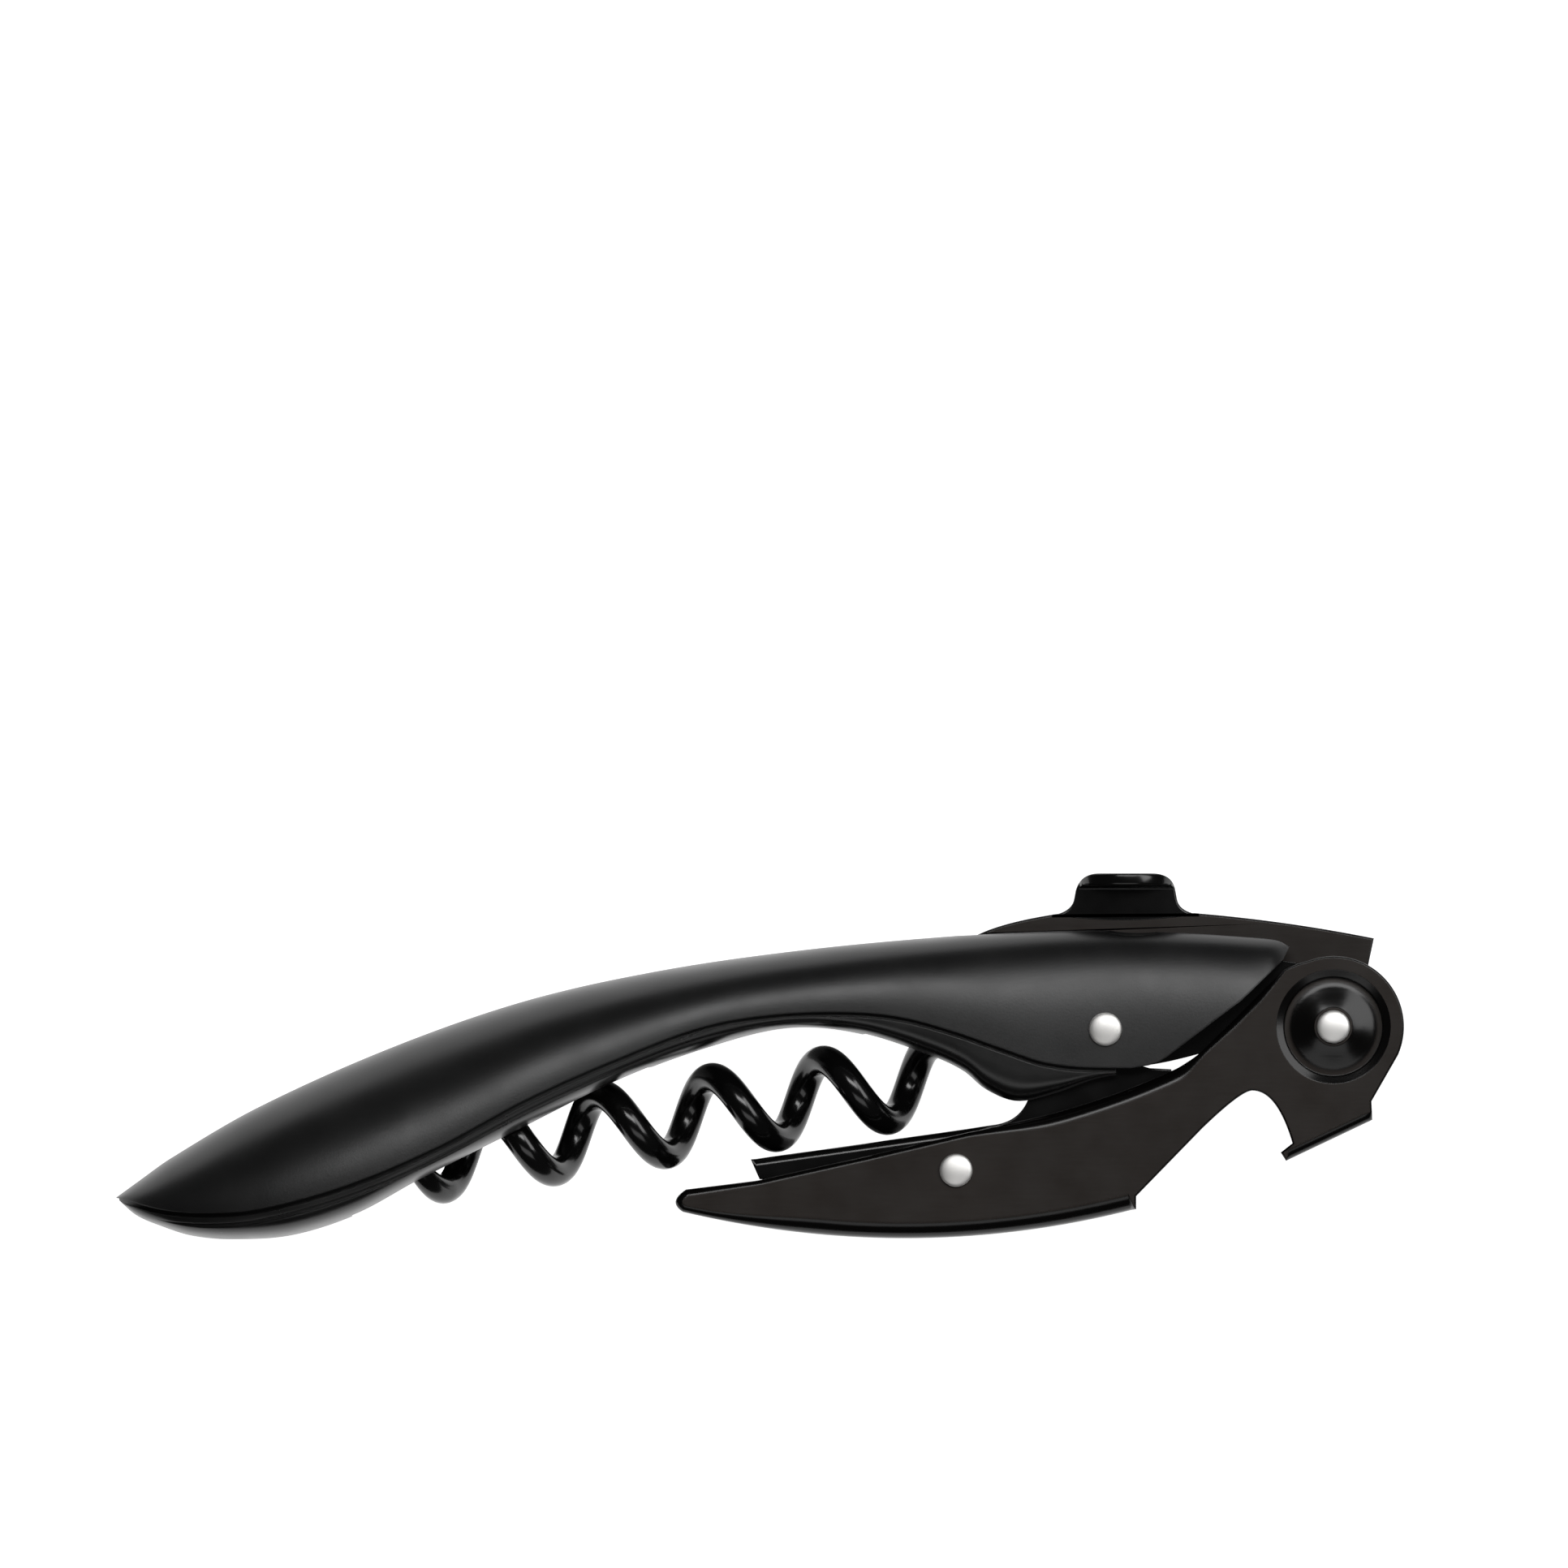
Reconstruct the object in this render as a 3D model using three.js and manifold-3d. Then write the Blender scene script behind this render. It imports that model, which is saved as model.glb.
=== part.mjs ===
// A waiter's corkscrew with a one-piece sheet lever, a rocking inner step, a worm and a foil blade.
// Millimetres. X runs along the handle to the pivot end, Y runs up to the spine, Z runs across the tool.
// The outlines below are drawn about the handle's mid-plane, and the last lines stand the tool on its side.
import * as THREE from 'three';
import { ParametricGeometry } from 'three/addons/geometries/ParametricGeometry.js';
import { mergeVertices } from 'three/addons/utils/BufferGeometryUtils.js';
import Module from 'manifold-3d';

// Driving dimensions
const LENGTH = 120;
const HEIGHT = 34.1;
const HANDLE_HALF_WIDTH = 9.26;
const FAR = 80; // reach of a cutter that passes right through

const PIVOT = new THREE.Vector2(53.42, 19.81); // lever and blade turn about this pin
const WORM_PIVOT = new THREE.Vector2(32.17, 19.58);
const STEP_PIVOT = new THREE.Vector2(18.26, 6.43);

const PIN_RADIUS = 1;
const PIN_HOLE_RADIUS = 1.1;
const PIN_HEAD_RADIUS = 1.55;
const HEAD_CLEARANCE = 0.05;
const WORM_PIN_HALF = 6.5; // to the underside of its heads

const BLADE_HALF_THICKNESS = 1;
const LINER_INNER = 1.74;
const LINER_OUTER = 3.1;
const BAY_HALF_WIDTH = 4.9; // bay in the handle that the worm folds into
const SLOT_HALF_WIDTH = 3.4; // slot in the handle that holds the liner

const LEVER_OUTER = 5.75;
const SHEET = 0.95;
const LEVER_INNER = LEVER_OUTER - SHEET;
const BOSS_RADIUS = 6.58;

const STEP_OUTER = 4.3;
const STEP_INNER = 3.35;

const WORM_WIRE_RADIUS = 1.38;
const WORM_COIL_RADIUS = 3.23; // to the middle of the wire
const WORM_PITCH = 10.48;
const WORM_TILT = 0.1536; // radians that the worm falls towards the handle's tip
const WORM_BOTTOM_X = 11.47; // lowest point of the last coil
const WORM_AXIS_POINT = new THREE.Vector2(0.57, 12.6);
const WORM_TIP_X = -34.5;
const WORM_EASE = 3; // length over which the wire stops turning, at the top of the last coil
const WORM_LAST_COIL_X = 18;
const WORM_SHANK_X = 31;

const wasm = await Module();
wasm.setup();

// --- Solids -------------------------------------------------------------------------------------

// Turns a closed geometry into a solid that faces out, leaving out the triangles that merging closes up.
function solidOf(geometry) {
  const bare = geometry.clone();
  bare.deleteAttribute('normal');
  bare.deleteAttribute('uv');
  const merged = mergeVertices(bare, 1e-3);
  const triangles = [];
  for (let i = 0; i < merged.index.count; i += 3) {
    const corners = [0, 1, 2].map((k) => merged.index.getX(i + k));
    if (new Set(corners).size === 3) triangles.push(...corners);
  }
  const build = (triVerts) =>
    new wasm.Manifold(
      new wasm.Mesh({ numProp: 3, vertProperties: merged.attributes.position.array, triVerts }),
    );
  const solid = build(new Uint32Array(triangles));
  return solid.volume() > 0 ? solid : build(new Uint32Array(triangles.reverse()));
}

function geometryOf(solid) {
  const mesh = solid.getMesh();
  const geometry = new THREE.BufferGeometry();
  geometry.setAttribute('position', new THREE.BufferAttribute(mesh.vertProperties, 3));
  geometry.setIndex(new THREE.BufferAttribute(mesh.triVerts, 1));
  geometry.computeVertexNormals();
  return geometry;
}

// A side outline given a thickness from z = low to z = high.
function slab(shape, low, high, curveSegments = 10) {
  const geometry = new THREE.ExtrudeGeometry(shape, {
    depth: high - low,
    bevelEnabled: false,
    curveSegments,
  });
  return solidOf(geometry.translate(0, 0, low));
}

// A plan outline (x, z) given a height from y = low to y = high.
function column(shape, low, high, curveSegments = 10) {
  const geometry = new THREE.ExtrudeGeometry(shape, {
    depth: high - low,
    bevelEnabled: false,
    curveSegments,
  });
  return solidOf(geometry.rotateX(Math.PI / 2).translate(0, high, 0));
}

// A closed outline of straight lines.
function outline(points) {
  return new THREE.Shape(points.map(([x, y]) => new THREE.Vector2(x, y)));
}

function rod(centre, radius, low, high, segments = 24) {
  const geometry = new THREE.CylinderGeometry(radius, radius, high - low, segments);
  geometry.rotateX(Math.PI / 2).translate(centre.x, centre.y, (low + high) / 2);
  return solidOf(geometry);
}

// A turned piece: the profile holds (radius, z) pairs and turns about an axis along Z.
function turned(centre, profile, segments = 28) {
  const points = profile.map(([radius, z]) => new THREE.Vector2(radius, z));
  const geometry = new THREE.LatheGeometry(points, segments);
  return solidOf(geometry.rotateX(Math.PI / 2).translate(centre.x, centre.y, 0));
}

function mirrored(solid) {
  return solid.add(solid.mirror([0, 0, 1]));
}

function hole(centre) {
  return rod(centre, PIN_HOLE_RADIUS, -FAR, FAR);
}

// Height of a smooth line through points of rising x.
function heightOn(points, x) {
  const last = points.length - 1;
  let i = 0;
  while (i < last - 1 && x > points[i + 1][0]) i += 1;
  const at = (k) => points[Math.min(Math.max(k, 0), last)];
  const slope = (k) => (at(k + 1)[1] - at(k - 1)[1]) / (at(k + 1)[0] - at(k - 1)[0]);
  const span = at(i + 1)[0] - at(i)[0];
  const t = THREE.MathUtils.clamp((x - at(i)[0]) / span, 0, 1);
  const t2 = t * t;
  const t3 = t2 * t;
  return (
    (2 * t3 - 3 * t2 + 1) * at(i)[1] +
    (t3 - 2 * t2 + t) * span * slope(i) +
    (3 * t2 - 2 * t3) * at(i + 1)[1] +
    (t3 - t2) * span * slope(i + 1)
  );
}

// --- Handle -------------------------------------------------------------------------------------

const TIP_X = -LENGTH / 2;
const TIP_Y = 3.9;
const HANDLE_END_X = 52;
const WIDEST_X = -33;
const RIM_GAP = 0.3; // groove between the grip shell and the rim under it
const GROOVE_DEPTH = 0.9;
const TONGUE_GAP = 0.02;

const SPINE_LINE = [
  [TIP_X, TIP_Y], [-58, 5.35], [-54.9, 7.56], [-46.7, 12.33], [-34.2, 17.92], [-21.8, 22.23],
  [-9.3, 25.03], [4, 26.95], [18, 28.25], [29.8, 28.9], [40, 28.75], [49.1, 28.2], [52, 28],
];
const LOWER_LINE = [
  [TIP_X, TIP_Y], [-58.2, 2.3], [-55.8, 1.24], [-52.9, 0.33], [-49.1, 0], [-43.5, 0.4], [-37.5, 2.34],
  [-31.7, 5.52], [-23.4, 9.68], [-13.5, 14.62], [-5.2, 17.76], [2.5, 19.66], [9, 19.2], [16.1, 16.9],
  [19, 15.5], [21, 13.8], [23.9, 12.7], [27.5, 13.5], [31.3, 14.9], [34, 15.3], [52, 15.3],
];
const CREASE_LINE = [
  [TIP_X, TIP_Y], [-55.8, 2.75], [-51.6, 2.42], [-46.7, 2.8], [-38.4, 5.07], [-30, 8.62], [-21.8, 13],
  [-13.5, 16.7], [-5.2, 19.8], [1.8, 20.95], [8.6, 21.13], [13.3, 20.64], [18, 19.36], [22.8, 17.69],
  [26.5, 16.48], [31, 15.99], [52, 15.99],
];
const WIDTH_LINE = [
  [WIDEST_X, HANDLE_HALF_WIDTH], [-24.2, 9.05], [-15.5, 8.5], [-6.8, 7.9], [2, 7.4], [12.4, 7.1],
  [22.2, 6.95], [30.7, 6.5], [41.9, 6.4], [46.5, 6.35], [48.2, 5.9], [49.2, 4.9], [52, 4],
];

function halfWidth(x) {
  if (x >= WIDEST_X) return heightOn(WIDTH_LINE, x);
  const share = (WIDEST_X - x) / (WIDEST_X - TIP_X);
  return HANDLE_HALF_WIDTH * Math.max(0, 1 - share ** 2.3) ** 0.46;
}

// One point of the handle's skin: u goes round the section, v goes from the tip to the open end.
function handleSkin(u, v, target) {
  const stations = 0.98; // past this share of v the last section closes on its own middle
  const along = Math.min(v / stations, 1);
  const x = THREE.MathUtils.lerp(TIP_X, HANDLE_END_X, along ** 1.35);
  const angle = 2 * Math.PI * u;
  const middle = heightOn(CREASE_LINE, x);
  const top = heightOn(SPINE_LINE, x) - middle;
  const bottom = middle - heightOn(LOWER_LINE, x);
  const round = (value, power) => Math.sign(value) * Math.abs(value) ** power;
  const squareness = THREE.MathUtils.smoothstep(x, -10, 40); // the section grows squarer to the open end
  const open = v > stations ? 0 : 1;
  const upper = Math.sin(angle) > 0;
  const side = round(Math.cos(angle), (upper ? 0.74 : 0.6) - 0.22 * squareness);
  const rise = round(Math.sin(angle), (upper ? 0.86 : 0.55) - 0.26 * squareness);
  target.set(x, middle + open * rise * (upper ? top : bottom), open * halfWidth(x) * side);
}

// Everything over the crease, as a cutter.
function overCrease(drop) {
  const steps = 48;
  const points = [];
  for (let i = 0; i <= steps; i += 1) {
    const x = THREE.MathUtils.lerp(TIP_X - 1, HANDLE_END_X + 1, i / steps);
    points.push([x, heightOn(CREASE_LINE, Math.max(x, TIP_X)) - drop]);
  }
  points.push([HANDLE_END_X + 1, FAR], [TIP_X - 1, FAR]);
  return slab(outline(points), -FAR, FAR);
}

// Everything inside the handle's plan, as far in as the groove is deep.
function insideGroove() {
  const steps = 44;
  const edge = [];
  for (let i = 0; i <= steps; i += 1) {
    const x = THREE.MathUtils.lerp(TIP_X, HANDLE_END_X + 1, (i / steps) ** 1.6);
    const z = halfWidth(x) - GROOVE_DEPTH;
    if (z > 0.05) edge.push([x, z]);
  }
  const other = edge.map(([x, z]) => [x, -z]).reverse();
  return column(outline([...edge, ...other]), -FAR, FAR);
}

// The lower moulding: behind the groove it reaches up to the shell.
function rim(handle) {
  const tongue = handle.subtract(overCrease(TONGUE_GAP)).intersect(insideGroove());
  return handle.subtract(overCrease(RIM_GAP)).add(tongue);
}

// The slanted open end, where the lever's boss turns.
function openEnd() {
  return slab(
    outline([
      [49.8, 30], [49.3, 27.2], [48.3, 25.6], [44.85, 22.25], [41, 19.35], [37.85, 16.95],
      [36.2, 16.2], [34.6, 15.95], [33.2, 15.9], [33.2, 10], [60, 10], [60, 30],
    ]),
    -FAR,
    FAR,
  );
}

// The bay that the worm folds into: its ceiling follows the coil, then it opens round the worm's pin.
function wormBay() {
  const ceiling = (x) => wormAxisY(x) + 5.1;
  const shape = outline([
    [-38, -5], [-38, ceiling(-38) - 2], [-36.5, ceiling(-36.5)], [21.5, ceiling(21.5)],
    [23, 20.8], [45, 20.8], [45, -5],
  ]);
  return slab(shape, -BAY_HALF_WIDTH, BAY_HALF_WIDTH);
}

// The slot for the liner, with the narrower mouth that shows on the spine.
function bladeSlot() {
  const slotStart = 18.4;
  const pocket = outline([
    [slotStart, 20.6], [slotStart, 27.1], [30, 27.6], [44, 27.3], [60, 27], [60, 10], [24, 10], [23, 20.6],
  ]);
  const mouth = new THREE.Shape();
  mouth.moveTo(60, -3.35);
  mouth.lineTo(45, -3.3);
  mouth.quadraticCurveTo(30, -2.75, 20.5, -1.95);
  mouth.absarc(20.3, 0, 1.95, -Math.PI / 2, Math.PI / 2, true);
  mouth.quadraticCurveTo(30, 2.75, 45, 3.3);
  mouth.lineTo(60, 3.35);
  return slab(pocket, -SLOT_HALF_WIDTH, SLOT_HALF_WIDTH).add(column(mouth, 22, FAR));
}

function wholeHandle() {
  const skin = new ParametricGeometry(handleSkin, 30, 50);
  return solidOf(skin)
    .subtract(openEnd())
    .subtract(wormBay())
    .subtract(bladeSlot())
    .subtract(hole(WORM_PIVOT))
    .subtract(rod(LINER_PIN, LINER_PIN_RADIUS + 0.1, -LINER_PIN_HALF - 0.3, LINER_PIN_HALF + 0.3));
}

// --- Liner --------------------------------------------------------------------------------------

const LINER_NOSE_X = 18.8;
const LINER_PIN = new THREE.Vector2(24.6, 23.6);
const LINER_PIN_RADIUS = 0.8;
const LINER_PIN_HALF = 4.6;

// A bent strip: two plates joined by a round nose, seen from the spine.
function linerPlan() {
  const middle = LINER_NOSE_X + LINER_OUTER;
  const plan = new THREE.Shape();
  plan.moveTo(FAR, -LINER_OUTER);
  plan.lineTo(middle, -LINER_OUTER);
  plan.absarc(middle, 0, LINER_OUTER, -Math.PI / 2, Math.PI / 2, true);
  plan.lineTo(FAR, LINER_OUTER);
  plan.lineTo(FAR, LINER_INNER);
  plan.lineTo(middle, LINER_INNER);
  plan.absarc(middle, 0, LINER_INNER, Math.PI / 2, -Math.PI / 2, false);
  plan.lineTo(FAR, -LINER_INNER);
  return plan;
}

function linerSide() {
  const endRadius = 5.7;
  const side = new THREE.Shape();
  side.moveTo(LINER_NOSE_X, 21);
  side.lineTo(LINER_NOSE_X, 26.6);
  side.quadraticCurveTo(34, 27.9, 46, 26.4);
  side.lineTo(PIVOT.x - 1.2, PIVOT.y + endRadius);
  side.absarc(PIVOT.x, PIVOT.y, endRadius, Math.PI / 2, -Math.PI / 2 - 0.35, true);
  side.lineTo(42, 17.6);
  side.quadraticCurveTo(38, 16.4, 35.5, 16.15);
  side.lineTo(28.5, 16.3);
  side.lineTo(24.2, 21);
  return side;
}

function liner() {
  return column(linerPlan(), 0, FAR, 16)
    .intersect(slab(linerSide(), -FAR, FAR, 14))
    .subtract(hole(PIVOT))
    .subtract(hole(WORM_PIVOT))
    .subtract(rod(LINER_PIN, LINER_PIN_RADIUS + 0.1, -FAR, FAR, 20));
}

// --- Lever --------------------------------------------------------------------------------------

// The foot: a short web across the lever that sits on a bottle's rim.
const FOOT_START = new THREE.Vector2(57.05, 11.12);
const FOOT_END = new THREE.Vector2(49, 7.3);
const FOOT_ALONG = FOOT_END.clone().sub(FOOT_START).normalize();
const FOOT_INWARD = new THREE.Vector2(FOOT_ALONG.y, -FOOT_ALONG.x);
const FOOT_NOTCH_DEPTH = 3.9;
const FOOT_NOTCH_HALF = BLADE_HALF_THICKNESS + 0.35;

function footPoint(along, inward) {
  return FOOT_START.clone().addScaledVector(FOOT_ALONG, along).addScaledVector(FOOT_INWARD, inward);
}

function leverSide() {
  const side = new THREE.Shape();
  side.moveTo(35.05, 2.8);
  side.quadraticCurveTo(14, -2.45, -7.2, 2.55);
  side.quadraticCurveTo(-8.7, 3.5, -6.9, 4.65);
  side.lineTo(-0.11, 5.5);
  side.lineTo(19.17, 9.91);
  side.quadraticCurveTo(30.5, 12.1, 38.45, 15.8);
  side.quadraticCurveTo(40.05, 16.5, 41.3, 17.65);
  side.lineTo(48.85, 25.15);
  side.lineTo(50, 25.65);
  side.absarc(PIVOT.x, PIVOT.y, BOSS_RADIUS, 1.92, -0.42, true);
  side.lineTo(56.97, 12.85);
  side.lineTo(FOOT_START.x, FOOT_START.y);
  side.lineTo(FOOT_END.x, FOOT_END.y);
  side.lineTo(48.5, 8.09);
  side.lineTo(49.6, 8.95);
  side.quadraticCurveTo(48.15, 13.85, 45.86, 13.85);
  side.quadraticCurveTo(44.85, 13.85, 41.22, 10.35);
  side.lineTo(35.05, 4.01);
  return side;
}

// The space between the two cheeks: everything but the bottom web and the foot web.
function leverChannel() {
  const foot = (along, inward) => footPoint(along, inward).toArray();
  const channel = outline([
    [-12, 4.6], [-6.4, 3.9], [0.5, 2.3], [6, 1.65], [14, 1.2], [21, 1.55], [28, 2.4],
    [34, 3.6], [36.2, 3.8], [46, 6], foot(9.4, SHEET), foot(-3, SHEET), [70, 20], [70, 40], [-12, 40],
  ]);
  return slab(channel, -LEVER_INNER, LEVER_INNER);
}

function footNotch() {
  const corners = [[-2, -2], [FOOT_NOTCH_DEPTH, -2], [FOOT_NOTCH_DEPTH, 3], [-2, 3]];
  const shape = outline(corners.map(([along, inward]) => footPoint(along, inward).toArray()));
  return slab(shape, -FOOT_NOTCH_HALF, FOOT_NOTCH_HALF);
}

// The pressed dish round the pivot: a ring cut in the cheek's outside, and its bulge inside.
const DISH_DEPTH = 0.95;
const BULGE_DEPTH = 1.2;

function dishCut() {
  const low = LEVER_OUTER - DISH_DEPTH;
  const far = LEVER_OUTER + 1;
  const cone = [[1.9, far], [1.9, LEVER_OUTER - 0.1], [4.6, low]];
  const rimSlope = [[4.7, LEVER_OUTER - 0.3], [5.34, LEVER_OUTER], [5.34, far]];
  return turned(PIVOT, [...cone, ...rimSlope, cone[0]]);
}

function dishBulge() {
  const low = LEVER_INNER - BULGE_DEPTH;
  const high = LEVER_INNER + 0.2;
  return turned(PIVOT, [[0, high], [0, low], [5.6, low], [5.9, high], [0, high]]);
}

function lever() {
  return slab(leverSide(), -LEVER_OUTER, LEVER_OUTER, 14)
    .subtract(leverChannel())
    .add(mirrored(dishBulge()))
    .subtract(mirrored(dishCut()))
    .subtract(footNotch())
    .subtract(hole(PIVOT))
    .subtract(rod(STEP_PIVOT, PIN_HOLE_RADIUS, -FAR, FAR));
}

// --- Step lever ---------------------------------------------------------------------------------

function stepSide() {
  const side = new THREE.Shape();
  side.moveTo(-0.05, 5.6);
  side.lineTo(-0.87, 7.45);
  side.lineTo(19.17, 10.28);
  side.lineTo(21.6, 10.64);
  side.quadraticCurveTo(24.1, 10.9, 24.95, 13);
  side.quadraticCurveTo(29.5, 15.6, 33.2, 16.1);
  side.lineTo(35.5, 16.18);
  side.lineTo(36.3, 15.95);
  side.lineTo(38.3, 15.85);
  side.lineTo(38.6, 14.4);
  side.lineTo(33, 9.2);
  side.lineTo(24, 5.2);
  side.absarc(STEP_PIVOT.x, STEP_PIVOT.y, 2.7, -0.5, -Math.PI / 2 - 0.2, true);
  side.lineTo(6, 4.9);
  return side;
}

// The web is the strip under the straight top edge, so the space between the cheeks is all the rest.
function stepChannel() {
  const shape = outline([
    [-2, 3], [-0.5, 6.3], [19.2, 9.3], [21.4, 9.65], [21.4, 30], [50, 30], [50, -5], [-2, -5],
  ]);
  return slab(shape, -STEP_INNER, STEP_INNER);
}

function stepLever() {
  return slab(stepSide(), -STEP_OUTER, STEP_OUTER, 8).subtract(stepChannel()).subtract(hole(STEP_PIVOT));
}

// A coil round the step's pin, with one leg under the step's web and one on the lever's bottom web.
class StepSpringPath extends THREE.Curve {
  getPoint(t, target = new THREE.Vector3()) {
    const legShare = 0.2;
    const coilRadius = 1.9;
    const halfSpread = 1.5;
    const turns = 3.49;
    const startAngle = 1.75;
    const s = THREE.MathUtils.clamp((t - legShare) / (1 - 2 * legShare), 0, 1);
    const angle = startAngle - 2 * Math.PI * turns * s;
    const z = THREE.MathUtils.lerp(-halfSpread, halfSpread, s);
    target.set(coilRadius * Math.cos(angle), coilRadius * Math.sin(angle), z);
    const legLength = 7;
    const before = Math.max(0, legShare - t) / legShare;
    const after = Math.max(0, t - (1 - legShare)) / legShare;
    const reach = legLength * (before > 0 ? -before : after);
    target.x += reach * Math.sin(angle);
    target.y -= reach * Math.cos(angle);
    return target.add(new THREE.Vector3(STEP_PIVOT.x, STEP_PIVOT.y, 0));
  }
}

function stepSpring() {
  const wire = new THREE.Shape().absarc(0, 0, 0.25, 0, 2 * Math.PI);
  const options = { steps: 84, curveSegments: 4, bevelEnabled: false, extrudePath: new StepSpringPath() };
  return solidOf(new THREE.ExtrudeGeometry(wire, options));
}

// --- Worm ---------------------------------------------------------------------------------------

function wormAxisY(x) {
  return WORM_AXIS_POINT.y + (x - WORM_AXIS_POINT.x) * Math.tan(WORM_TILT);
}

// The wire's angle round the worm's axis: it turns evenly, then comes to rest at the top of the last coil.
function wormAngle(x) {
  const rate = (2 * Math.PI) / (WORM_PITCH * Math.cos(WORM_TILT));
  const slowX = WORM_BOTTOM_X + Math.PI / rate - WORM_EASE / 2;
  const past = THREE.MathUtils.clamp(x - slowX, 0, WORM_EASE);
  const travel = Math.min(x, slowX) - WORM_BOTTOM_X + past - past ** 2 / (2 * WORM_EASE);
  return -Math.PI / 2 - rate * travel;
}

// A right-handed helix that runs into a straight shank.
class WormPath extends THREE.Curve {
  getPoint(t, target = new THREE.Vector3()) {
    const x = THREE.MathUtils.lerp(WORM_TIP_X, WORM_PIVOT.x - 0.6, t);
    const closing = THREE.MathUtils.smoothstep(x, WORM_LAST_COIL_X, WORM_SHANK_X);
    const radius = WORM_COIL_RADIUS * (1 - closing);
    const angle = wormAngle(x);
    const rise = radius * Math.sin(angle);
    return target.set(
      x - rise * Math.sin(WORM_TILT),
      wormAxisY(x) + rise * Math.cos(WORM_TILT),
      radius * Math.cos(angle),
    );
  }
}

const EYE_RADIUS = 3;
const EYE_HALF_THICKNESS = 1.2;

function worm() {
  const wire = new THREE.Shape().absarc(0, 0, WORM_WIRE_RADIUS, 0, 2 * Math.PI);
  const options = { steps: 124, curveSegments: 5, bevelEnabled: false, extrudePath: new WormPath() };
  return solidOf(new THREE.ExtrudeGeometry(wire, options))
    .add(rod(WORM_PIVOT, EYE_RADIUS, -EYE_HALF_THICKNESS, EYE_HALF_THICKNESS))
    .subtract(hole(WORM_PIVOT));
}

// --- Blade --------------------------------------------------------------------------------------

const BLADE_POINT = new THREE.Vector2(20.2, 28.35);

function bladeSide() {
  const side = new THREE.Shape();
  side.moveTo(BLADE_POINT.x, BLADE_POINT.y);
  side.quadraticCurveTo(23, 29.75, 29.3, 30.55);
  side.lineTo(40.5, 30.4);
  side.quadraticCurveTo(49, 29.7, 57.2, 28.05);
  side.lineTo(56.7, 25.7);
  side.absarc(PIVOT.x, PIVOT.y, 3.7, 0.7, -2.6, true);
  side.quadraticCurveTo(47.6, 22.8, 44, 23.2);
  side.lineTo(30, 23.4);
  side.quadraticCurveTo(23.5, 24.4, BLADE_POINT.x, BLADE_POINT.y);
  return side;
}

// The nail tab stands out of the blade's back and ends in a round shelf that reaches over the handle.
const TAB_LEFT_X = 29.25;
const TAB_RIGHT_X = 38.85;
const TAB_FAR_Z = -0.68;
const TAB_REACH = 3.75;
const SHELF_THICKNESS = 1.15;

function tabSide() {
  const side = new THREE.Shape();
  side.moveTo(TAB_LEFT_X - 2.2, 29.5);
  side.lineTo(TAB_LEFT_X - 2.2, 30.15);
  side.quadraticCurveTo(TAB_LEFT_X - 0.2, 30.5, TAB_LEFT_X, 31.7);
  side.lineTo(TAB_LEFT_X + 0.15, 32.5);
  side.quadraticCurveTo(TAB_LEFT_X + 0.6, HEIGHT, TAB_LEFT_X + 2.4, HEIGHT);
  side.lineTo(TAB_RIGHT_X - 2.4, HEIGHT);
  side.quadraticCurveTo(TAB_RIGHT_X - 0.4, HEIGHT, TAB_RIGHT_X - 0.15, 32.5);
  side.lineTo(TAB_RIGHT_X, 31.7);
  side.quadraticCurveTo(TAB_RIGHT_X + 0.2, 30.5, TAB_RIGHT_X + 2.2, 30.25);
  side.lineTo(TAB_RIGHT_X + 2.2, 29.5);
  return side;
}

function shelfPlan() {
  const left = TAB_LEFT_X + 0.5;
  const right = TAB_RIGHT_X - 0.3;
  const fullReach = (4 * TAB_REACH - 1) / 3; // height of the two handles of a curve that peaks at the reach
  const plan = new THREE.Shape();
  plan.moveTo(right, 0);
  plan.lineTo(right, 1);
  plan.bezierCurveTo(right - 1.2, fullReach, left + 1.2, fullReach, left, 1);
  plan.lineTo(left, 0);
  return plan;
}

// The round bend between the tab's face and the underside of its shelf, drawn in (y, z) and run along x.
function tabBend() {
  const shelfUnderside = HEIGHT - SHELF_THICKNESS;
  const shape = new THREE.Shape();
  shape.moveTo(29.9, 0.5);
  shape.lineTo(29.9, BLADE_HALF_THICKNESS);
  shape.quadraticCurveTo(32.7, 1.15, shelfUnderside, TAB_REACH - 0.15);
  shape.lineTo(shelfUnderside + 0.3, TAB_REACH - 0.15);
  shape.lineTo(shelfUnderside + 0.3, 0.5);
  const run = { depth: TAB_RIGHT_X - TAB_LEFT_X, bevelEnabled: false, curveSegments: 6 };
  const turn = new THREE.Matrix4().makeBasis(
    new THREE.Vector3(0, 1, 0), new THREE.Vector3(0, 0, 1), new THREE.Vector3(1, 0, 0),
  );
  return solidOf(new THREE.ExtrudeGeometry(shape, run).applyMatrix4(turn).translate(TAB_LEFT_X, 0, 0));
}

function blade() {
  const tab = slab(tabSide(), -FAR, FAR, 5);
  return slab(bladeSide(), -BLADE_HALF_THICKNESS, BLADE_HALF_THICKNESS, 14)
    .add(slab(tabSide(), TAB_FAR_Z, BLADE_HALF_THICKNESS, 5))
    .add(column(shelfPlan(), HEIGHT - SHELF_THICKNESS, HEIGHT, 10).intersect(tab))
    .add(tabBend().intersect(column(shelfPlan(), 0, FAR, 10)).intersect(tab))
    .subtract(hole(PIVOT));
}

// --- Pins and spacers ---------------------------------------------------------------------------

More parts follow.
